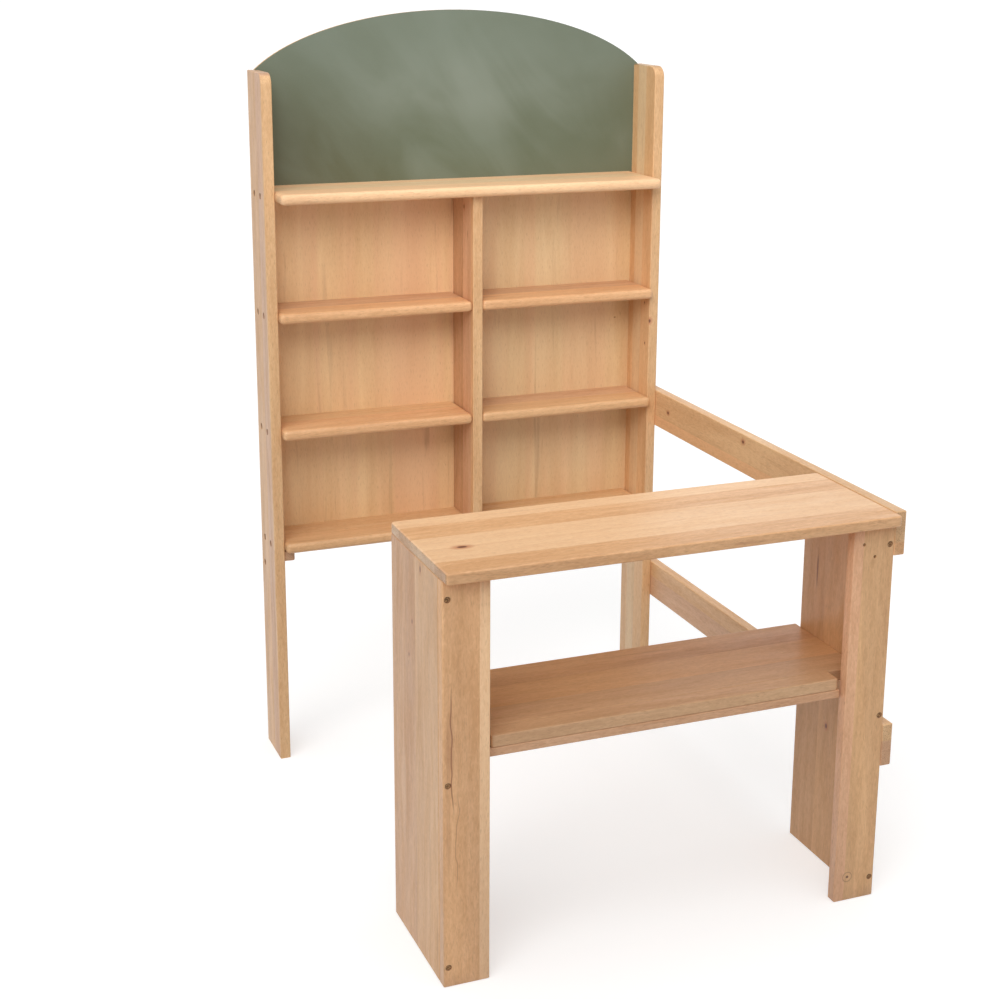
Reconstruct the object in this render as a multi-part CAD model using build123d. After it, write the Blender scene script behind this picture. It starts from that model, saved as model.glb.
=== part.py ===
from build123d import *
import math
import os

# Wooden play market stall. A shelf unit with an arched chalkboard stands at the back, a counter stands in
# front of it, and two side rails tie them together on the right. The left side is open to walk in.
# Sizes are millimetres. +X runs to the right along the shelf unit, +Y to its back, and +Z is up.
# The pieces are drawn from the shelf unit's left front corner, and then moved so that the origin lies
# under the middle of the whole footprint, on the floor.

# Stock
board = 18.0
ply = 6.0
edge_round = 2.0
end_bevel = 1.5
nose_round = 7.0
corner_round = 6.0

# Shelf unit
unit_width = 724.0
upright_depth = 93.0
upright_height = 1200.0
upright_top_round = 20.0
rabbet_width = 8.0
chalk_height = 192.0
ledge_overhang = 40.0
ledge_round = 8.0
shelf_overhang = 16.0
divider_shift = 6.0
bottom_shelf_top = 404.0
bay_levels = ["bottom", "middle", "top"]
cleat_side = 18.0
cleat_setback = 3.0

# Arched chalkboard: its top is a stretch of an ellipse that is wider than the board.
arch_rise = 96.0
arch_overreach = 38.0
arch_side_gap = 0.5
arch_end_round = 5.0

# Counter
counter_gap = 565.0
counter_inset = 30.0
counter_height = 613.0
top_thickness = 16.0
top_edge_round = 3.0
top_depth = 236.0
top_front_overhang = 18.0
panel_setback = 2.0
front_board_width = 68.0
counter_shelf_top = 362.0
shelf_back_overhang = 13.0
strip_depth = 30.0
strip_gap = 6.0
strip_proud = 6.0
strip_corner_round = 4.0
batten_height = 13.0
batten_depth = 36.0
batten_gap = 2.0
rest_width = 20.0
fit_gap = 0.3

# Side rails
rail_height = 67.0
upper_rail_rise = 1.0
lower_rail_top = 281.0

# Lines that the pieces share
inner_left = board
inner_right = unit_width - board
panel_front = upright_depth - ply
nose_line = -shelf_overhang
bottom_shelf_low = bottom_shelf_top - board
ledge_top = upright_height - chalk_height
ledge_low = ledge_top - board
shelf_pitch = (ledge_top - bottom_shelf_top) / len(bay_levels)
ledge_middle = ledge_top - board / 2
divider_middle = unit_width / 2 + divider_shift
divider_left = divider_middle - board / 2
divider_right = divider_left + board
board_left = board - rabbet_width + arch_side_gap
board_right = unit_width - board_left

top_back = -counter_gap
top_front = top_back - top_depth
boards_front = top_front + top_front_overhang
boards_back = boards_front + board
side_back = top_back - panel_setback
top_low = counter_height - top_thickness
left_out = counter_inset
left_in = left_out + board
right_out = unit_width
right_in = right_out - board
opening_left = left_out + front_board_width
opening_right = right_out - front_board_width
counter_shelf_low = counter_shelf_top - board
batten_low = counter_shelf_low - batten_height
strip_front = boards_back - strip_proud
strip_back = strip_front + strip_depth
shelf_back = side_back + shelf_back_overhang

whole_width = unit_width + board
whole_depth = upright_depth - top_front
to_origin = Location((-whole_width / 2, whole_depth / 2 - upright_depth, 0))


def block(x_span, y_span, z_span):
    size = [span[1] - span[0] for span in (x_span, y_span, z_span)]
    low = (x_span[0], y_span[0], z_span[0])
    return Pos(*low) * Box(*size, align=(Align.MIN, Align.MIN, Align.MIN))


def plank(x_span, y_span, z_span):
    # Rounded along the grain, and lightly bevelled round both sawn ends.
    body = block(x_span, y_span, z_span)
    lengths = [span[1] - span[0] for span in (x_span, y_span, z_span)]
    grain = [Axis.X, Axis.Y, Axis.Z][lengths.index(max(lengths))]
    body = fillet(body.edges().filter_by(grain), edge_round)
    ends = body.faces().sort_by(grain)
    return chamfer(ends[0].edges() + ends[-1].edges(), end_bevel)


def cleat(x_span, y_span, z_span):
    # A hidden batten, with all its edges bevelled.
    body = block(x_span, y_span, z_span)
    return chamfer(body.edges(), end_bevel)


def nosed_shelf(x_span, y_span, top, corner, nose):
    # The two front corners are rounded in plan, and the nose is rounded above and below.
    nose = min(nose, board * 0.45)
    body = block(x_span, y_span, (top - board, top))
    front_corners = body.edges().filter_by(Axis.Z).sort_by(Axis.Y)[:2]
    body = fillet(front_corners, corner)
    front_edges = body.edges().filter_by(Axis.X).group_by(Axis.Y)[0]
    return fillet(front_edges, nose)


def upright(x_low, rabbet_x):
    # A full-height plank on edge: rounded top front corner, eased edges, a rabbet for the back boards.
    body = block((x_low, x_low + board), (0, upright_depth), (0, upright_height))
    top_front_edge = body.edges().filter_by(Axis.X).group_by(Axis.Z)[-1].sort_by(Axis.Y)[0]
    body = fillet(top_front_edge, upright_top_round)
    eased = body.edges().filter_by(lambda edge: edge.center().Z < upright_height - edge_round)
    body = fillet(eased.filter_by(Axis.Z), edge_round)
    rabbet = block(rabbet_x, (panel_front, upright_depth), (bottom_shelf_low, upright_height))
    return body - rabbet


def arched_board():
    # Straight sides that sit in both rabbets, and one stretch of an ellipse across the whole width on top.
    half = (board_right - board_left) / 2
    middle = (board_left + board_right) / 2
    long_radius = half + arch_overreach
    short_radius = arch_rise / (1 - math.sqrt(1 - (half / long_radius) ** 2))
    centre = (middle, upright_height + arch_rise - short_radius)
    end_angle = math.degrees(math.acos(half / long_radius))
    arc = EllipticalCenterArc(centre, long_radius, short_radius, end_angle, arc_size=180 - 2 * end_angle)
    sides = Polyline(arc @ 1, (board_left, ledge_middle), (board_right, ledge_middle), arc @ 0)
    face = make_face(arc + sides)
    body = Pos(0, upright_depth, 0) * extrude(Plane.XZ * face, ply)
    ends = body.edges().filter_by(Axis.Y).group_by(Axis.Z)[-1]
    return fillet(ends, arch_end_round)


def counter_top():
    body = block((left_out, right_out), (top_front, top_back), (top_low, counter_height))
    body = fillet(body.edges().filter_by(Axis.Z), corner_round)
    body = fillet(body.edges().group_by(Axis.Z)[-1], top_edge_round)
    return chamfer(body.edges().group_by(Axis.Z)[0], end_bevel)


def save(name, body):
    export_step(to_origin * body, os.path.join("parts", name + ".step"))


os.makedirs("parts", exist_ok=True)

# Shelf unit
save("left_upright", upright(0, (board - rabbet_width, board)))
save("right_upright", upright(inner_right, (inner_right, inner_right + rabbet_width)))
save("chalkboard", arched_board())
save("chalk_ledge", nosed_shelf((inner_left, inner_right), (-ledge_overhang, panel_front), ledge_top,
                                ledge_round, ledge_round))
save("centre_divider", plank((divider_left, divider_right), (nose_line, panel_front),
                             (bottom_shelf_top, ledge_low)))
save("bottom_shelf", nosed_shelf((inner_left, inner_right), (nose_line, panel_front), bottom_shelf_top,
                                 nose_round, nose_round))
bays = {"left": (inner_left, divider_left), "right": (divider_right, inner_right)}
for side, bay in bays.items():
    for level in range(1, len(bay_levels)):
        shelf_top = bottom_shelf_top + shelf_pitch * level
        shelf = nosed_shelf(bay, (nose_line, panel_front), shelf_top, nose_round, nose_round)
        save(f"{side}_{bay_levels[level]}_shelf", shelf)
panel_spans = {"left": (board_left, divider_middle), "right": (divider_middle, board_right)}
for side, span in panel_spans.items():
    save(f"{side}_back_panel", block(span, (panel_front, upright_depth), (bottom_shelf_low, ledge_middle)))
cleat_spans = {"left": (inner_left, inner_left + cleat_side), "right": (inner_right - cleat_side, inner_right)}
for side, span in cleat_spans.items():
    cleat_heights = (bottom_shelf_low - cleat_side, bottom_shelf_low)
    save(f"{side}_shelf_cleat", cleat(span, (cleat_setback, panel_front), cleat_heights))

# Counter
save("counter_top", counter_top())
side_spans = {"left": (left_out, left_in), "right": (right_in, right_out)}
front_spans = {"left": (left_out, opening_left), "right": (opening_right, right_out)}
for side in ("left", "right"):
    save(f"counter_{side}_side", plank(side_spans[side], (boards_back, side_back), (0, top_low)))
    save(f"counter_{side}_front", plank(front_spans[side], (boards_front, boards_back), (0, top_low)))
save("counter_shelf", plank((left_in, right_in), (strip_back, shelf_back), (counter_shelf_low, counter_shelf_top)))
strip_span = (opening_left + strip_gap, opening_right - strip_gap)
save("counter_shelf_strip", nosed_shelf(strip_span, (strip_front, strip_back), counter_shelf_top,
                                        strip_corner_round, edge_round))
batten_span = (opening_left + batten_gap, opening_right - batten_gap)
save("counter_shelf_batten", plank(batten_span, (strip_front, strip_front + batten_depth),
                                   (batten_low, counter_shelf_low)))
rest_spans = {"left": (left_in, left_in + rest_width), "right": (right_in - rest_width, right_in)}
for side, span in rest_spans.items():
    rest_run = (boards_back + fit_gap, shelf_back)
    save(f"counter_shelf_{side}_cleat", cleat(span, rest_run, (batten_low, counter_shelf_low)))

# Side rails
rail_tops = {"upper": counter_height + upper_rail_rise, "lower": lower_rail_top}
for level, rail_top in rail_tops.items():
    rail_heights = (rail_top - rail_height, rail_top)
    save(f"{level}_rail", plank((right_out, right_out + board), (boards_front, upright_depth), rail_heights))
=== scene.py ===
import bmesh
import bpy
import math
from mathutils import Matrix, Vector


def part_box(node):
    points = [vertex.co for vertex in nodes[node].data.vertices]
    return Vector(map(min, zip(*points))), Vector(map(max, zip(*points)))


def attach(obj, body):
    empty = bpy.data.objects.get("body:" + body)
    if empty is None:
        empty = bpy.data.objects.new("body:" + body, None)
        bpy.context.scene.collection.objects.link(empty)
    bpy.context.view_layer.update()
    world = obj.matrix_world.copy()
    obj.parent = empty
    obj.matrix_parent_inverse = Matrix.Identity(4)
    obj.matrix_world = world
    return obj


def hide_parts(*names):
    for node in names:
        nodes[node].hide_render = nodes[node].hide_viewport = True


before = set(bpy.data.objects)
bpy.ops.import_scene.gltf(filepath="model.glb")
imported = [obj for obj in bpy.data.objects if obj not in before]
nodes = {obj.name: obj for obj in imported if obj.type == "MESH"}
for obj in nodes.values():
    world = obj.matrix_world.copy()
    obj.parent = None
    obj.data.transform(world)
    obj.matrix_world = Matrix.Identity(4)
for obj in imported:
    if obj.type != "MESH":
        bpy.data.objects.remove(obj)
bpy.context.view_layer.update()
print("frame loaded:", len(nodes), "nodes")


# Small helpers for node trees

def newMaterial(name):
    material = bpy.data.materials.new(name)
    material.use_nodes = True
    tree = material.node_tree
    tree.nodes.clear()
    output = tree.nodes.new("ShaderNodeOutputMaterial")
    shader = tree.nodes.new("ShaderNodeBsdfPrincipled")
    tree.links.new(shader.outputs["BSDF"], output.inputs["Surface"])
    return material, tree, shader


def feed(tree, socket, value):
    # a socket is linked to another node's output, or set to a plain value
    if isinstance(value, bpy.types.NodeSocket):
        tree.links.new(value, socket)
    else:
        socket.default_value = value


def calc(tree, operation, a, b=0.0, c=0.0, clamp=False):
    node = tree.nodes.new("ShaderNodeMath")
    node.operation = operation
    node.use_clamp = clamp
    for socket, value in zip(node.inputs, (a, b, c)):
        feed(tree, socket, value)
    return node.outputs[0]


def splitVector(tree, vector):
    node = tree.nodes.new("ShaderNodeSeparateXYZ")
    feed(tree, node.inputs[0], vector)
    return node.outputs


def joinVector(tree, parts):
    node = tree.nodes.new("ShaderNodeCombineXYZ")
    for socket, part in zip(node.inputs, parts):
        feed(tree, socket, part)
    return node.outputs[0]


def vectorMath(tree, operation, vector, other=None, output="Vector"):
    node = tree.nodes.new("ShaderNodeVectorMath")
    node.operation = operation
    feed(tree, node.inputs[0], vector)
    if other is not None:
        node.inputs[1].default_value = other
    return node.outputs[output]


def spotDistance(tree, place, center, sizes):
    # distance from a spot's centre, where 1 is its edge
    away = vectorMath(tree, "SUBTRACT", place, center)
    return vectorMath(tree, "LENGTH", vectorMath(tree, "DIVIDE", away, sizes), output="Value")


def noise(tree, vector, scale, detail, bend=0.0):
    node = tree.nodes.new("ShaderNodeTexNoise")
    feed(tree, node.inputs["Vector"], vector)
    node.inputs["Scale"].default_value = scale
    node.inputs["Detail"].default_value = detail
    node.inputs["Distortion"].default_value = bend
    return node.outputs["Fac"]


def pattern(tree, vector, look):
    # noise with its own fineness along each axis
    node = tree.nodes.new("ShaderNodeMapping")
    feed(tree, node.inputs["Vector"], vector)
    node.inputs["Scale"].default_value = look["fineness"]
    return noise(tree, node.outputs["Vector"], 1.0, look["detail"], look["bend"])


def fade(tree, value, low, high, toLow=0.0, toHigh=1.0):
    node = tree.nodes.new("ShaderNodeMapRange")
    node.interpolation_type = "SMOOTHSTEP"
    feed(tree, node.inputs["Value"], value)
    for key, setting in (("From Min", low), ("From Max", high), ("To Min", toLow), ("To Max", toHigh)):
        feed(tree, node.inputs[key], setting)
    return node.outputs["Result"]


def blendColor(tree, factor, first, second, mode="MIX"):
    node = tree.nodes.new("ShaderNodeMix")
    node.data_type = "RGBA"
    node.blend_type = mode
    feed(tree, node.inputs["Factor"], factor)
    feed(tree, node.inputs["A"], first)
    feed(tree, node.inputs["B"], second)
    return node.outputs["Result"]


def addBump(tree, shader, height, look):
    bump = tree.nodes.new("ShaderNodeBump")
    bump.inputs["Strength"].default_value = look["bumpStrength"]
    bump.inputs["Distance"].default_value = look["bumpDepth"]
    feed(tree, bump.inputs["Height"], height)
    feed(tree, shader.inputs["Normal"], bump.outputs["Normal"])


def rgb(red, green, blue):
    # a screen colour, 0 to 255, as Blender's linear colour
    linear = []
    for part in (red, green, blue):
        linear.append(((part / 255 + 0.055) / 1.055) ** 2.4 if part > 10 else part / 3295)
    return (*linear, 1.0)


# Small helpers for meshes and objects

meshRules = {
    "sharpAngle": 32,
    "flatAngle": 0.5,
    "mergeDistance": 0.00001,
}


def meshFrom(name, shape):
    mesh = bpy.data.meshes.new(name)
    shape.to_mesh(mesh)
    shape.free()
    return mesh


def addObject(name, data):
    item = bpy.data.objects.new(name, data)
    bpy.context.scene.collection.objects.link(item)
    return item


def smoothFaces(mesh):
    mesh.shade_smooth()
    mesh.set_sharp_from_angle(angle=math.radians(meshRules["sharpAngle"]))


# Wood: pale rubberwood glued up from staves, under a satin clear lacquer

# light and dark colour of each kind of stave
staveKinds = {
    "pale": (rgb(237, 206, 164), rgb(218, 180, 137)),
    "honey": (rgb(235, 194, 146), rgb(212, 164, 116)),
    "amber": (rgb(226, 180, 133), rgb(204, 154, 107)),
    "rosy": (rgb(225, 181, 143), rgb(202, 153, 115)),
    "tan": (rgb(220, 179, 137), rgb(198, 155, 115)),
    "brown": (rgb(212, 167, 126), rgb(181, 134, 97)),
    "ply": (rgb(246, 212, 163), rgb(226, 184, 134)),
    "blush": (rgb(238, 188, 148), rgb(214, 160, 120)),
    "straw": (rgb(239, 211, 165), rgb(221, 184, 136)),
    "cream": (rgb(250, 208, 163), rgb(236, 188, 142)),
    "clay": (rgb(224, 176, 130), rgb(200, 149, 106)),
    "peach": (rgb(231, 184, 135), rgb(208, 160, 113)),
    "wheat": (rgb(241, 191, 142), rgb(217, 164, 115)),
}
# fineness is across, through and along the grain
grainLayers = {
    "broad": {"fineness": (26, 26, 2.0), "detail": 3.0, "bend": 0.6},
    "streaks": {"fineness": (72, 72, 7.5), "detail": 4.0, "bend": 1.1},
    "curls": {"fineness": (190, 190, 75), "detail": 3.0, "bend": 1.5},
    "flecks": {"fineness": (420, 420, 85), "detail": 2.0, "bend": 0.3},
    "pores": {"fineness": (1050, 1050, 95), "detail": 1.0, "bend": 0.0},
    "minerals": {"fineness": (75, 75, 4.0), "detail": 3.0, "bend": 0.5},
}
woodLook = {
    "poreColor": rgb(143, 98, 66),
    "mineralColor": rgb(150, 92, 62),
    # knots, nail dots and the painted shade in the countersinks share this dark colour
    "knotAndShadeColor": rgb(98, 54, 32),
    "haloColor": rgb(196, 128, 92),
    "staveShift": (3.0, 3.0, 5.0),
    "firstId": 0.05,
    "idStep": 0.06,
    "broadShare": 1.7,
    "streakShare": 0.9,
    "curlShare": 1.0,
    "fleckShare": 1.0,
    "figure": 1.0,
    "minerals": 0.3,
    # how much painted shade darkens a plank's narrow edges; 1 leaves them as they are
    "paintedEdgeShade": 1.0,
    "endShade": 0.84,
    "facePores": 0.22,
    "edgePores": 0.34,
    "stainWander": 1.4,
    "plugLine": 0.5,
    "fleckRelief": 0.4,
    "bumpStrength": 0.15,
    "bumpDepth": 0.0003,
}
# ply has broad soft bands of a pinker tone, and a quieter figure than solid wood
veneerLook = {
    "figure": 0.45,
    "fleckShare": 0.4,
    "bands": {"fineness": (19, 19, 0.8), "detail": 2.0, "bend": 0.3},
}
# core and reach are the shares of a vein's width and length where its fades begin
veinLook = {
    "drift": {"fineness": (0, 0, 13), "detail": 2.0, "bend": 0.0},
    "core": 0.3,
    "reach": 0.3,
}
# where each change begins and ends, and its values there unless they are 0 and 1 or the plank's own
woodFades = {
    "knotPush": (0.8, 3.5, 0.006, 0.0),
    "halo": (0.9, 2.6, 0.75, 0.0),
    "knot": (0.55, 1.1, 0.9, 0.0),
    "blush": (0.4, 0.64),
    "minerals": (0.62, 0.80),
    "pores": (0.58, 0.72),
    "edge": (0.7, 0.95),
    "end": (0.75, 0.95),
    "stain": (0.3, 1.2),
    "plugInside": (0.82, 0.95),
    "plugOutside": (1.0, 1.16, 1.0, 0.0),
    "nail": (0.2, 0.36, 0.9, 0.0),
    "roughness": (0.3, 0.8, 0.35, 0.52),
}


def shareAcross(tree, name, width, value):
    # 0 at the low side of the plank's box, 1 at its high side
    low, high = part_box(name)
    order = "XYZ".index(width)
    node = tree.nodes.new("ShaderNodeMapRange")
    feed(tree, node.inputs["Value"], value)
    node.inputs["From Min"].default_value = low[order]
    node.inputs["From Max"].default_value = high[order]
    return node.outputs["Result"]


def staveRamp(tree, factor, staves, shade):
    # constant bands of colour across the plank; alpha numbers the staves
    node = tree.nodes.new("ShaderNodeValToRGB")
    feed(tree, node.inputs["Fac"], factor)
    ramp = node.color_ramp
    ramp.interpolation = "CONSTANT"
    while len(ramp.elements) < len(staves):
        ramp.elements.new(0.5)
    for index, (start, kind) in enumerate(staves):
        staveId = woodLook["firstId"] + woodLook["idStep"] * index
        ramp.elements[index].position = start
        ramp.elements[index].color = (*staveKinds[kind][shade][:3], staveId)
    return node.outputs["Color"], node.outputs["Alpha"]


def grainPoint(tree, staveId, seed, parts):
    # every stave has its own stretch of grain
    lot = tree.nodes.new("ShaderNodeTexWhiteNoise")
    lot.noise_dimensions = "1D"
    feed(tree, lot.inputs["W"], calc(tree, "ADD", staveId, seed))
    luck = tree.nodes.new("ShaderNodeSeparateColor")
    feed(tree, luck.inputs[0], lot.outputs["Color"])
    moved = []
    for draw, shift, part in zip(luck.outputs, woodLook["staveShift"], parts):
        moved.append(calc(tree, "MULTIPLY_ADD", draw, shift, part))
    return joinVector(tree, moved)


def figureMix(tree, layers, plank):
    # 0 is the stave's light colour, 1 its dark one
    veneer = "blush" in plank
    figure = veneerLook["figure"] if veneer else plank.get("figure", woodLook["figure"])
    shares = {
        "broad": woodLook["broadShare"],
        "streaks": woodLook["streakShare"] * figure,
        "curls": woodLook["curlShare"] * figure,
        "flecks": veneerLook["fleckShare"] if veneer else woodLook["fleckShare"],
    }
    mix = 0.5 - sum(shares.values()) / 2
    for key, share in shares.items():
        mix = calc(tree, "MULTIPLY_ADD", layers[key], share, mix, clamp=(key == "flecks"))
    return mix


def shadeFaces(tree, color, facing, level):
    shaded = blendColor(tree, 1.0, color, (level, level, level, 1), "MULTIPLY")
    return blendColor(tree, facing, color, shaded)


def addKnots(tree, color, halos):
    for away in halos:
        color = blendColor(tree, fade(tree, away, *woodFades["halo"]), color, woodLook["haloColor"])
        color = blendColor(tree, fade(tree, away, *woodFades["knot"]), color, woodLook["knotAndShadeColor"])
    return color


def addStains(tree, color, spot, streaks, stains):
    # dark patches with a ragged edge
    wander = woodLook["stainWander"]
    for center, sizes, strength in stains:
        away = calc(tree, "ADD", spotDistance(tree, spot, center, sizes), -wander / 2)
        ragged = calc(tree, "MULTIPLY_ADD", streaks, wander, away)
        patch = fade(tree, ragged, *woodFades["stain"], strength, 0.0)
        color = blendColor(tree, patch, color, woodLook["mineralColor"])
    return color


def addVeins(tree, color, across, along, veins):
    # dark veins wander along the grain, each between two heights
    for vein in veins:
        swing, breadth = vein["swing"], vein["width"]
        low, high = vein["heights"]
        length = high - low
        drift = pattern(tree, joinVector(tree, (0.0, 0.0, along)), veinLook["drift"])
        aside = calc(tree, "MULTIPLY_ADD", drift, -swing, across)
        aside = calc(tree, "ABSOLUTE", calc(tree, "SUBTRACT", aside, vein["start"] - swing / 2))
        line = fade(tree, aside, breadth * veinLook["core"], breadth, vein["strength"], 0.0)
        apart = calc(tree, "ABSOLUTE", calc(tree, "SUBTRACT", along, (low + high) / 2))
        window = fade(tree, apart, length * veinLook["reach"], length / 2, 1.0, 0.0)
        color = blendColor(tree, calc(tree, "MULTIPLY", line, window), color, woodLook["mineralColor"])
    return color


def addPlug(tree, color, spot, center, radius):
    # a round wooden plug: a dark hairline round it, and a nail's dot in its middle
    away = spotDistance(tree, spot, center, (radius, radius, radius))
    inside = fade(tree, away, *woodFades["plugInside"])
    line = calc(tree, "MULTIPLY", inside, fade(tree, away, *woodFades["plugOutside"]))
    line = calc(tree, "MULTIPLY", line, woodLook["plugLine"])
    color = blendColor(tree, line, color, woodLook["poreColor"])
    return blendColor(tree, fade(tree, away, *woodFades["nail"]), color, woodLook["knotAndShadeColor"])


def woodMaterial(name, plank):
    width, grain = plank["axes"]
    thick = [axis for axis in "XYZ" if axis not in plank["axes"]][0]
    material, tree, shader = newMaterial("wood_" + name)
    place = tree.nodes.new("ShaderNodeTexCoord")
    spot = place.outputs["Object"]
    split = splitVector(tree, spot)
    across, through, along = (split[axis] for axis in (width, thick, grain))
    halos = [spotDistance(tree, spot, center, sizes) for center, sizes in plank.get("knots", [])]
    for away in halos:
        # a knot pushes the grain aside
        across = calc(tree, "ADD", across, fade(tree, away, *woodFades["knotPush"]))
    share = shareAcross(tree, name, width, split[width])
    lightTone, staveId = staveRamp(tree, share, plank["staves"], 0)
    darkTone, _ = staveRamp(tree, share, plank["staves"], 1)
    point = grainPoint(tree, staveId, plank["seed"], (across, through, along))
    layers = {key: pattern(tree, point, look) for key, look in grainLayers.items()}
    color = blendColor(tree, figureMix(tree, layers, plank), lightTone, darkTone)
    if "blush" in plank:
        bands = pattern(tree, point, veneerLook["bands"])
        bands = fade(tree, bands, *woodFades["blush"], 0.0, plank["blush"])
        color = blendColor(tree, bands, color, staveKinds["blush"][0])
    minerals = fade(tree, layers["minerals"], *woodFades["minerals"], 0.0, woodLook["minerals"])
    color = blendColor(tree, minerals, color, woodLook["mineralColor"])
    # open pores show most on sawn ends, and more on the narrow edges than on the wide faces
    facing = splitVector(tree, place.outputs["Normal"])
    edgeOn = calc(tree, "ABSOLUTE", facing[width])
    endOn = fade(tree, calc(tree, "ABSOLUTE", facing[grain]), *woodFades["end"])
    poreShare = fade(tree, edgeOn, *woodFades["edge"], woodLook["facePores"], woodLook["edgePores"])
    pores = fade(tree, layers["pores"], *woodFades["pores"])
    pores = calc(tree, "MULTIPLY", pores, calc(tree, "MAXIMUM", poreShare, endOn))
    color = blendColor(tree, pores, color, woodLook["poreColor"])
    # painted shade: the narrow edges along the width are darkened by the plank's edge factor
    edges = fade(tree, edgeOn, *woodFades["edge"])
    color = shadeFaces(tree, color, edges, plank.get("paintedEdgeShade", woodLook["paintedEdgeShade"]))
    color = shadeFaces(tree, color, endOn, plank.get("endShade", woodLook["endShade"]))
    color = addKnots(tree, color, halos)
    color = addStains(tree, color, spot, layers["streaks"], plank.get("stains", []))
    color = addVeins(tree, color, across, along, plank.get("veins", []))
    if "plug" in plank:
        color = addPlug(tree, color, spot, *plank["plug"])
    feed(tree, shader.inputs["Base Color"], color)
    feed(tree, shader.inputs["Roughness"], fade(tree, layers["streaks"], *woodFades["roughness"]))
    flecks = calc(tree, "MULTIPLY", layers["flecks"], woodLook["fleckRelief"])
    addBump(tree, shader, calc(tree, "SUBTRACT", flecks, pores), woodLook)
    return material


def finishNode(name, material):
    item = nodes[name]
    item.data.materials.clear()
    item.data.materials.append(material)


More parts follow.
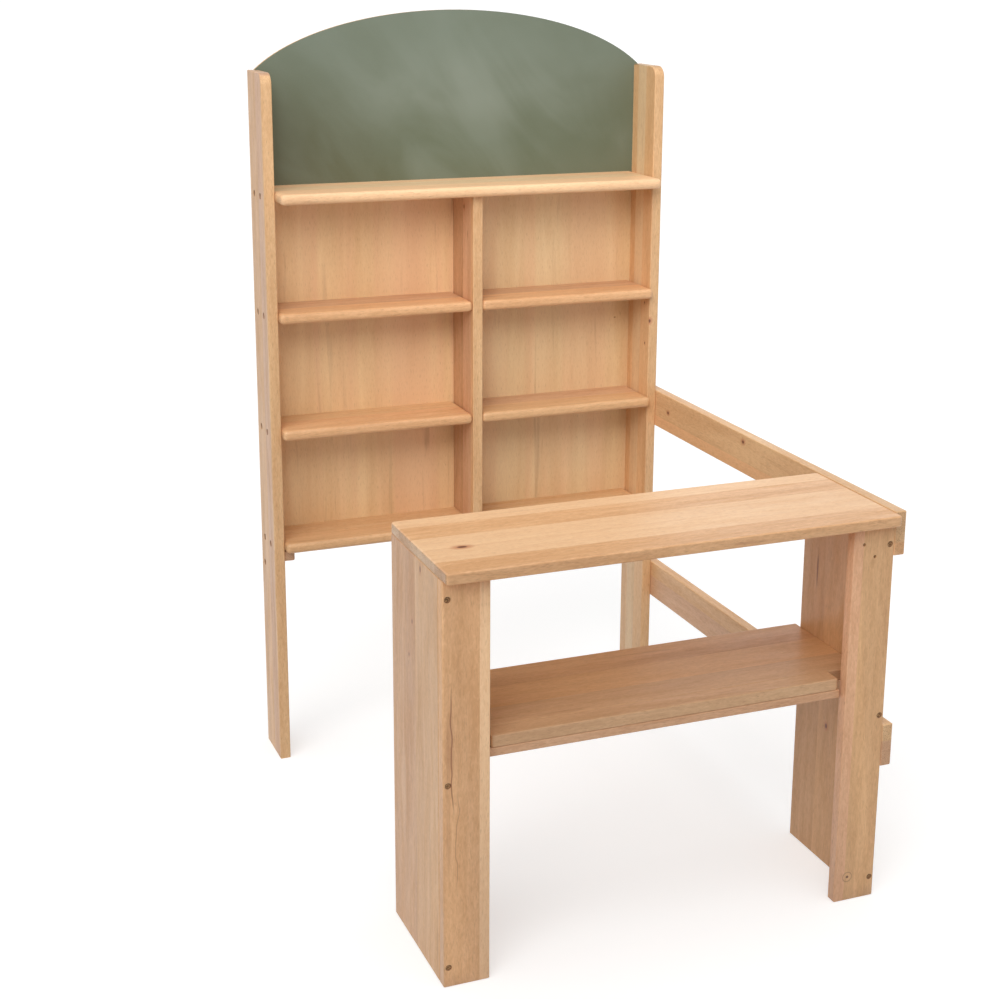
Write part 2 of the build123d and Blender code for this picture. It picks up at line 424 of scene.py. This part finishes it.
# every plank: axes across and along its grain, and its staves from the low side of its box
# knots and stains are places, sizes and, for a stain, a strength; a plug is a place and a radius
planks = {
    "left_upright": {
        "axes": "YZ", "seed": 1,
        "staves": [(0, "honey"), (0.08, "rosy"), (0.42, "peach"), (0.7, "peach")],
    },
    "right_upright": {
        "axes": "YZ", "seed": 2, "figure": 0.7,
        "staves": [(0, "honey"), (0.38, "pale"), (0.72, "honey")],
        "knots": [
            ((0.335, 0.3739, 0.776), (0.004, 0.0016, 0.0022)),
            ((0.335, 0.3539, 0.7454), (0.004, 0.0016, 0.004)),
            ((0.335, 0.3696, 0.7013), (0.004, 0.0016, 0.0022)),
        ],
    },
    "centre_divider": {
        "axes": "YZ", "seed": 3,
        "staves": [(0, "honey"), (0.12, "rosy"), (0.5, "brown")],
        "knots": [((-0.012, 0.3839, 0.9657), (0.004, 0.0022, 0.0045))],
        "stains": [((-0.012, 0.3655, 0.9195), (0.004, 0.0016, 0.010), 0.95)],
    },
    "chalk_ledge": {"axes": "YX", "seed": 4, "staves": [(0, "cream"), (0.42, "pale"), (0.75, "cream")]},
    "bottom_shelf": {"axes": "YX", "seed": 5, "staves": [(0, "peach"), (0.5, "honey")]},
    "left_middle_shelf": {"axes": "YX", "seed": 6, "staves": [(0, "wheat"), (0.6, "honey")]},
    "left_top_shelf": {"axes": "YX", "seed": 7, "staves": [(0, "wheat"), (0.45, "rosy")]},
    "right_middle_shelf": {"axes": "YX", "seed": 8, "staves": [(0, "peach"), (0.5, "rosy")]},
    "right_top_shelf": {"axes": "YX", "seed": 9, "staves": [(0, "wheat"), (0.5, "rosy")]},
    "left_back_panel": {"axes": "XZ", "seed": 10, "blush": 0.5, "staves": [(0, "ply"), (1, "ply")]},
    "right_back_panel": {
        "axes": "XZ", "seed": 11, "blush": 0.3,
        "staves": [(0, "straw"), (1, "straw")],
        "stains": [((0.307, 0.441, 0.738), (0.003, 0.003, 0.0022), 0.9)],
    },
    "left_shelf_cleat": {"axes": "ZY", "seed": 12, "staves": [(0, "rosy"), (1, "rosy")]},
    "right_shelf_cleat": {"axes": "ZY", "seed": 13, "staves": [(0, "honey"), (1, "honey")]},
    "counter_top": {
        "axes": "YX", "seed": 14, "figure": 1.3, "paintedEdgeShade": 0.9, "endShade": 0.74,
        "staves": [(0, "wheat"), (0.2, "cream"), (0.42, "cream"), (0.62, "wheat"), (0.84, "cream")],
        "knots": [((-0.2846, -0.3504, 0.613), (0.0085, 0.0045, 0.01))],
    },
    "counter_left_side": {
        "axes": "YZ", "seed": 15,
        "staves": [(0, "peach"), (0.2, "peach"), (0.475, "clay")],
        "knots": [
            ((-0.341, -0.3036, 0.4966), (0.004, 0.0016, 0.004)),
            ((-0.341, -0.289, 0.4429), (0.004, 0.0016, 0.003)),
            ((-0.341, -0.34, 0.585), (0.004, 0.002, 0.005)),
        ],
    },
    "counter_right_side": {
        "axes": "YZ", "seed": 16,
        "staves": [(0, "amber"), (0.3, "peach"), (0.66, "amber")],
        "knots": [((0.335, -0.304, 0.2289), (0.004, 0.003, 0.0045))],
        "stains": [((0.335, -0.256, 0.474), (0.006, 0.003, 0.035), 0.9)],
    },
    "counter_left_front": {
        "axes": "XZ", "seed": 17, "figure": 1.2,
        "staves": [(0, "wheat"), (0.77, "cream")],
        "stains": [((-0.331, -0.429, 0.36), (0.007, 0.01, 0.06), 0.3)],
        "veins": [
            {"start": -0.329, "swing": 0.022, "width": 0.0014, "heights": (0.25, 0.46), "strength": 0.75},
            {"start": -0.322, "swing": 0.03, "width": 0.0011, "heights": (0.14, 0.3), "strength": 0.4},
        ],
    },
    "counter_right_front": {
        "axes": "XZ", "seed": 18, "figure": 1.2,
        "staves": [(0, "blush"), (0.24, "peach")],
        "plug": ((0.3065, -0.429, 0.0393), 0.0078),
    },
    "counter_shelf": {"axes": "YX", "seed": 19, "staves": [(0, "tan"), (0.3, "peach"), (0.65, "clay")]},
    "counter_shelf_strip": {"axes": "YX", "seed": 25, "staves": [(0, "tan"), (1, "tan")]},
    "counter_shelf_batten": {"axes": "YX", "seed": 20, "staves": [(0, "rosy"), (1, "rosy")]},
    "counter_shelf_left_cleat": {"axes": "XY", "seed": 21, "staves": [(0, "rosy"), (1, "rosy")]},
    "counter_shelf_right_cleat": {"axes": "XY", "seed": 22, "staves": [(0, "honey"), (1, "honey")]},
    "upper_rail": {
        "axes": "ZY", "seed": 23, "endShade": 0.9,
        "staves": [(0, "wheat"), (0.3, "honey")],
        "knots": [
            ((0.353, 0.3025, 0.5834), (0.004, 0.004, 0.003)),
            ((0.353, 0.0239, 0.601), (0.004, 0.004, 0.003)),
        ],
    },
    "lower_rail": {"axes": "ZY", "seed": 24, "endShade": 0.9, "staves": [(0, "rosy"), (0.6, "honey")]},
}
woods = {}
for name, plank in planks.items():
    woods[name] = woodMaterial(name, plank)
    finishNode(name, woods[name])
print("planks finished:", len(planks))


# Chalkboard: thin board, painted on its face, wiped clean of chalk again and again

chalkLook = {
    "green": rgb(87, 95, 69),
    "shadeOlive": rgb(74, 73, 38),
    "haze": rgb(130, 140, 126),
    "board": rgb(216, 178, 131),
    "dust": rgb(162, 168, 155),
    "clouds": {"fineness": (4.5, 1, 6.5), "detail": 3.0, "bend": 0.4},
    "fibre": {"fineness": (220, 220, 9), "detail": 3.0, "bend": 0.5},
    "wipes": {"turn": -32, "sizes": (0.13, 1.0, 0.42), "detail": 4.0, "bend": 0.8},
    "grit": {"fineness": 900.0, "detail": 2.0},
    "margin": 0.03,
    "topHaze": 0.45,
    # where the painted shade in the lower left corner sits, and how far it reaches
    "corner": {"right": 0.06, "up": 0.03, "sizes": (0.19, 1.0, 0.14)},
    "smear": {"middle": 0.02, "down": 0.13, "sizes": (0.27, 1.0, 0.085)},
    "bumpStrength": 0.1,
    "bumpDepth": 0.0002,
}
# where each change begins and ends, and its values there unless they are 0 and 1
chalkFades = {
    "clouds": (0.3, 0.72, 0.0, 0.35),
    "corner": (0.1, 1.4, 0.75, 0.0),
    "wipes": (0.42, 0.75, 0.0, 0.42),
    "smear": (0.2, 1.3, 1.0, 0.0),
    "smearWipes": (0.35, 0.7, 0.06, 0.22),
    "grit": (0.4, 0.75, 0.0, 0.07),
    "front": (-0.75, -0.5, 1.0, 0.0),
    "fibre": (0.35, 0.7),
    "roughness": (0.3, 0.8, 0.62, 0.78),
}


def wipeMarks(tree, spot):
    # long soft strokes, slanted across the face
    look = chalkLook["wipes"]
    turned = tree.nodes.new("ShaderNodeMapping")
    feed(tree, turned.inputs["Vector"], spot)
    turned.vector_type = "TEXTURE"
    turned.inputs["Rotation"].default_value = (0, math.radians(look["turn"]), 0)
    turned.inputs["Scale"].default_value = look["sizes"]
    return noise(tree, turned.outputs["Vector"], 1.0, look["detail"], look["bend"])


def paintColor(tree, spot, wipes, grit):
    # painted shade darkens the lower left corner; the face is hazier with height, and dustiest under the
    # arch
    low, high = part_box("chalkboard")
    margin, corner, smear = (chalkLook[key] for key in ("margin", "corner", "smear"))
    height = fade(tree, splitVector(tree, spot)["Z"], low[2] + margin, high[2] - margin)
    cornerPlace = (low[0] + corner["right"], low[1], low[2] + corner["up"])
    cornerAway = spotDistance(tree, spot, cornerPlace, corner["sizes"])
    smearPlace = (smear["middle"], low[1], high[2] - smear["down"])
    smearAway = spotDistance(tree, spot, smearPlace, smear["sizes"])
    dusty = calc(tree, "MULTIPLY", fade(tree, smearAway, *chalkFades["smear"]),
                 fade(tree, wipes, *chalkFades["smearWipes"]))
    clouds = pattern(tree, spot, chalkLook["clouds"])
    color = chalkLook["green"]
    coats = (
        (fade(tree, clouds, *chalkFades["clouds"]), "haze"),
        (calc(tree, "MULTIPLY", height, chalkLook["topHaze"]), "haze"),
        # painted shade, olive, darkest in the lower left corner
        (fade(tree, cornerAway, *chalkFades["corner"]), "shadeOlive"),
        (fade(tree, wipes, *chalkFades["wipes"]), "haze"),
        (dusty, "dust"),
        (fade(tree, grit, *chalkFades["grit"]), "dust"),
    )
    for share, tone in coats:
        color = blendColor(tree, share, color, chalkLook[tone])
    return color


def chalkMaterial():
    material, tree, shader = newMaterial("chalk_face")
    place = tree.nodes.new("ShaderNodeTexCoord")
    spot = place.outputs["Object"]
    wipes = wipeMarks(tree, spot)
    grit = noise(tree, spot, chalkLook["grit"]["fineness"], chalkLook["grit"]["detail"])
    paint = paintColor(tree, spot, wipes, grit)
    # only the front is painted: the edge and the back stay bare
    painted = fade(tree, splitVector(tree, place.outputs["Normal"])["Y"], *chalkFades["front"])
    fibre = fade(tree, pattern(tree, spot, chalkLook["fibre"]), *chalkFades["fibre"])
    bare = blendColor(tree, fibre, chalkLook["board"], staveKinds["ply"][1])
    feed(tree, shader.inputs["Base Color"], blendColor(tree, painted, bare, paint))
    feed(tree, shader.inputs["Roughness"], fade(tree, wipes, *chalkFades["roughness"]))
    addBump(tree, shader, grit, chalkLook)
    return material


finishNode("chalkboard", chalkMaterial())
print("chalkboard finished")


# Screws: countersunk heads with a cross recess, set just under the face of four planks

screwLook = {
    "sinkWidth": 0.0095,
    "headWidth": 0.0078,
    "headDepth": 0.0013,
    "headSlack": 0.00005,
    "holeDepth": 0.004,
    "rimRound": 0.0005,
    "rimSegments": 3,
    "crossLength": 0.0044,
    "crossWidth": 0.0011,
    "crossDepth": 0.0016,
    "crossRise": 0.0004,
    "crossTaper": 0.45,
    "size": 1.0,
    "pinSize": 0.52,
    "segments": 28,
    "turns": [18, 55, 31, 77, 8, 64, 40, 25, 70],
    # the next two set the painted shade inside each countersink: its strength, and where it fades
    "holeShade": 0.68,
    "holeFade": (0.86, 1.06),
    "metal": rgb(176, 134, 90),
    "shadow": rgb(84, 58, 38),
    "metallic": 0.4,
    "patches": {"fineness": 700.0, "detail": 3.0},
    "patchFade": (0.35, 0.7),
    "roughness": (0.3, 0.7, 0.38, 0.6),
}
# places are in metres: from the low side of the plank's face, then height; a pin is a smaller head
screwPlaces = {
    "left_upright": {
        "face": "-X",
        "size": 1.22,
        "holes": [(0.028, 0.999), (0.068, 0.999), (0.028, 0.798), (0.068, 0.798), (0.028, 0.596),
                  (0.068, 0.596), (0.028, 0.395), (0.068, 0.395), (0.073, 0.347)],
    },
    "right_upright": {
        "face": "+X",
        "size": 1.22,
        "holes": [(0.028, 0.999), (0.068, 0.999), (0.028, 0.798), (0.068, 0.798), (0.028, 0.395),
                  (0.068, 0.395), (0.073, 0.347)],
    },
    "counter_left_front": {
        "face": "-Y",
        "holes": [(0.0072, 0.571), (0.0072, 0.305), (0.0072, 0.030)],
    },
    "counter_right_front": {
        "face": "-Y",
        "holes": [(0.0608, 0.566), (0.0608, 0.298), (0.0608, 0.032)],
        "pins": [(0.017, 0.570), (0.036, 0.550)],
    },
}
# each turns +Z to point out of that face
faceTurns = {
    "-X": Matrix.Rotation(math.radians(-90), 4, "Y"),
    "+X": Matrix.Rotation(math.radians(90), 4, "Y"),
    "-Y": Matrix.Rotation(math.radians(90), 4, "X"),
}


def holeFrames(name, plan):
    # for each hole, a matrix with +Z pointing out of the plank's face, and the hole's size
    low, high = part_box(name)
    frames = []
    for key in ("holes", "pins"):
        size = screwLook["pinSize"] if key == "pins" else plan.get("size", screwLook["size"])
        for offset, height in plan.get(key, []):
            if plan["face"] == "-Y":
                point = (low[0] + offset, low[1], height)
            else:
                point = (low[0] if plan["face"] == "-X" else high[0], low[1] + offset, height)
            frames.append((Matrix.Translation(point) @ faceTurns[plan["face"]], size))
    return frames


def addPiece(name, shape, material):
    mesh = meshFrom(name, shape)
    mesh.materials.append(material)
    smoothFaces(mesh)
    item = addObject(name, mesh)
    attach(item, "root")
    return item


def carve(target, shape):
    # cuts a bmesh out of an object, and leaves the result as the object's plain mesh
    bmesh.ops.recalc_face_normals(shape, faces=shape.faces)
    mesh = meshFrom("cutter", shape)
    cutter = addObject("cutter", mesh)
    cut = target.modifiers.new("cut", "BOOLEAN")
    cut.operation = "DIFFERENCE"
    cut.solver = "EXACT"
    cut.object = cutter
    bpy.context.view_layer.update()
    evaluated = target.evaluated_get(bpy.context.evaluated_depsgraph_get())
    made = bpy.data.meshes.new_from_object(evaluated)
    target.modifiers.clear()
    target.data = made
    bpy.data.objects.remove(cutter)
    bpy.data.meshes.remove(mesh)
    smoothFaces(made)


def paintHoleShade(name, plan):
    # painted shade darkens the wood inside each countersink
    tree = woods[name].node_tree
    shader = tree.nodes["Principled BSDF"]
    color = shader.inputs["Base Color"].links[0].from_socket
    place = tree.nodes.new("ShaderNodeTexCoord")
    for frameMatrix, size in holeFrames(name, plan):
        radius = screwLook["sinkWidth"] / 2 * size
        middle = frameMatrix.to_translation()
        away = spotDistance(tree, place.outputs["Object"], middle, (radius, radius, radius))
        paintedShade = fade(tree, away, *screwLook["holeFade"], screwLook["holeShade"], 0.0)
        color = blendColor(tree, paintedShade, color, woodLook["knotAndShadeColor"])
    feed(tree, shader.inputs["Base Color"], color)


def drillPlank(name, plan):
    # the same plank, with a countersunk hole for every screw
    shape = bmesh.new()
    shape.from_mesh(nodes[name].data)
    bmesh.ops.remove_doubles(shape, verts=shape.verts, dist=meshRules["mergeDistance"])
    bmesh.ops.dissolve_limit(shape, angle_limit=math.radians(meshRules["flatAngle"]),
                             verts=shape.verts, edges=shape.edges)
    plank = addPiece(name + "_drilled", shape, woods[name])
    holes = bmesh.new()
    depth, sink = screwLook["holeDepth"], screwLook["headDepth"]
    for frameMatrix, size in holeFrames(name, plan):
        wide = screwLook["sinkWidth"] / 2 * size
        narrow = screwLook["headWidth"] / 2 * size
        steps = ((-depth, -sink, narrow, narrow), (-sink, sink, narrow, 2 * wide - narrow))
        for low, high, base, top in steps:
            middle = Matrix.Translation((0, 0, (low + high) / 2))
            bmesh.ops.create_cone(holes, cap_ends=True, segments=screwLook["segments"], radius1=base,
                                  radius2=top, depth=high - low, matrix=frameMatrix @ middle)
    carve(plank, holes)
    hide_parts(name)


def metalMaterial():
    material, tree, shader = newMaterial("screw_metal")
    place = tree.nodes.new("ShaderNodeTexCoord")
    look = screwLook["patches"]
    patches = noise(tree, place.outputs["Object"], look["fineness"], look["detail"])
    dark = fade(tree, patches, *screwLook["patchFade"])
    color = blendColor(tree, dark, screwLook["metal"], screwLook["shadow"])
    feed(tree, shader.inputs["Base Color"], color)
    feed(tree, shader.inputs["Roughness"], fade(tree, patches, *screwLook["roughness"]))
    shader.inputs["Metallic"].default_value = screwLook["metallic"]
    return material


def roundHead():
    # a flat disc with a bevelled rim
    head = bmesh.new()
    radius = screwLook["headWidth"] / 2 - screwLook["headSlack"]
    thick = screwLook["holeDepth"] - screwLook["headDepth"]
    middle = -(screwLook["holeDepth"] + screwLook["headDepth"]) / 2
    bmesh.ops.create_cone(head, cap_ends=True, segments=screwLook["segments"], radius1=radius,
                          radius2=radius, depth=thick, matrix=Matrix.Translation((0, 0, middle)))
    level = -screwLook["headDepth"] - meshRules["mergeDistance"]
    rim = [edge for edge in head.edges if all(vert.co.z > level for vert in edge.verts)]
    bmesh.ops.bevel(head, geom=rim, offset=screwLook["rimRound"], segments=screwLook["rimSegments"],
                    profile=0.5, affect="EDGES", material=-1)
    return head


def crossSlot(quarter):
    # one arm of the cross recess, narrower at its bottom
    slot = bmesh.new()
    top = screwLook["crossRise"] - screwLook["headDepth"]
    low = top - screwLook["crossDepth"]
    turn = Matrix.Rotation(math.radians(quarter), 4, "Z")
    middle = Matrix.Translation((0, 0, (top + low) / 2))
    sizes = Matrix.Diagonal((screwLook["crossLength"], screwLook["crossWidth"], top - low, 1))
    bmesh.ops.create_cube(slot, size=1.0, matrix=turn @ middle @ sizes)
    bottom = [vert for vert in slot.verts if vert.co.z < (top + low) / 2]
    taper = screwLook["crossTaper"]
    bmesh.ops.scale(slot, vec=(taper, taper, 1), verts=bottom)
    return slot


def screwHead():
    item = addObject("screw_head", meshFrom("screw_head", roundHead()))
    for quarter in (0, 90):
        carve(item, crossSlot(quarter))
    made = item.data
    bpy.data.objects.remove(item)
    return made


def setScrews(name, plan, headMesh, metal):
    # every head has its own turn
    turns = screwLook["turns"]
    heads = bmesh.new()
    for index, (frameMatrix, size) in enumerate(holeFrames(name, plan)):
        spin = Matrix.Rotation(math.radians(turns[index % len(turns)]), 4, "Z")
        one = headMesh.copy()
        one.transform(frameMatrix @ spin @ Matrix.Diagonal((size, size, 1, 1)))
        heads.from_mesh(one)
        bpy.data.meshes.remove(one)
    addPiece(name + "_screws", heads, metal)


metal = metalMaterial()
headMesh = screwHead()
for name, plan in screwPlaces.items():
    paintHoleShade(name, plan)
    drillPlank(name, plan)
    setScrews(name, plan, headMesh, metal)
print("screws set:", len(screwPlaces), "planks")


# Stage: floor, light and camera

studio = {
    "floorSize": 500.0,
    "floorShade": 0.62,
    "floorGlow": 0.52,
    "floorRoughness": 0.95,
    "skyLevel": 0.42,
    "lamps": {
        "key": {"level": 0.95, "turn": (50, 0, -42), "softness": 38},
        "top": {"level": 0.95, "turn": (8, 0, -20), "softness": 50},
    },
    "panel": {
        "level": 1.8,
        "size": 0.8,
        "spread": 64,
        "place": (-0.5, -0.95, 1.75),
        "aim": (0.12, 0.36, 1.06),
    },
}
white = (1, 1, 1, 1)


def seenDirectly(tree):
    # 1 for rays from the camera or a reflection, 0 for light that bounces
    rays = tree.nodes.new("ShaderNodeLightPath")
    return calc(tree, "MAXIMUM", rays.outputs["Is Camera Ray"], rays.outputs["Is Glossy Ray"])


def makeFloor():
    shape = bmesh.new()
    bmesh.ops.create_grid(shape, x_segments=1, y_segments=1, size=studio["floorSize"] / 2)
    mesh = meshFrom("floor", shape)
    floor = addObject("floor", mesh)
    material, tree, shader = newMaterial("floor_white")
    shade = studio["floorShade"]
    shader.inputs["Base Color"].default_value = (shade, shade, shade, 1)
    shader.inputs["Roughness"].default_value = studio["floorRoughness"]
    shader.inputs["Specular IOR Level"].default_value = 0.0
    shader.inputs["Emission Color"].default_value = white
    glow = calc(tree, "MULTIPLY", seenDirectly(tree), studio["floorGlow"])
    feed(tree, shader.inputs["Emission Strength"], glow)
    mesh.materials.append(material)


def makeSky():
    world = bpy.data.worlds.new("studio")
    bpy.context.scene.world = world
    world.use_nodes = True
    tree = world.node_tree
    back = tree.nodes["Background"]
    back.inputs["Color"].default_value = white
    feed(tree, back.inputs["Strength"], calc(tree, "MAXIMUM", seenDirectly(tree), studio["skyLevel"]))


def makeLamps():
    for name, plan in studio["lamps"].items():
        lamp = bpy.data.lights.new(name, "SUN")
        lamp.energy = plan["level"]
        lamp.angle = math.radians(plan["softness"])
        item = addObject(name, lamp)
        item.rotation_euler = [math.radians(angle) for angle in plan["turn"]]


def makePanel():
    # one soft panel stands nearer, high on the left, and lights the shelf unit's upper part
    plan = studio["panel"]
    lamp = bpy.data.lights.new("panel", "AREA")
    lamp.energy = plan["level"]
    lamp.size = plan["size"]
    lamp.spread = math.radians(plan["spread"])
    item = addObject("panel", lamp)
    item.location = plan["place"]
    direction = Vector(plan["aim"]) - Vector(plan["place"])
    item.rotation_euler = direction.to_track_quat("-Z", "Y").to_euler()
    item.visible_camera = False


photoCamera = {
    "place": (-1.0526, -2.4544, 1.3807),
    "lens": 62.985,
    "sensor": 36,
    "shift": (-0.0218, -0.0802),
    "heading": -22.083,
    "downward": 14.759,
    "roll": 0.433,
    "reach": 600,
}


def makeCamera():
    data = bpy.data.cameras.new("photo_camera")
    data.lens = photoCamera["lens"]
    data.sensor_width = photoCamera["sensor"]
    data.shift_x, data.shift_y = photoCamera["shift"]
    data.clip_end = photoCamera["reach"]
    camera = addObject("photo_camera", data)
    camera.location = photoCamera["place"]
    heading = Matrix.Rotation(math.radians(photoCamera["heading"]), 3, "Z")
    tilt = Matrix.Rotation(math.radians(90 - photoCamera["downward"]), 3, "X")
    roll = Matrix.Rotation(math.radians(photoCamera["roll"]), 3, "Z")
    camera.rotation_euler = (heading @ tilt @ roll).to_euler()
    bpy.context.scene.camera = camera


makeFloor()
makeSky()
makeLamps()
makePanel()
makeCamera()
bpy.context.scene.view_settings.view_transform = "Standard"
print("stage set")
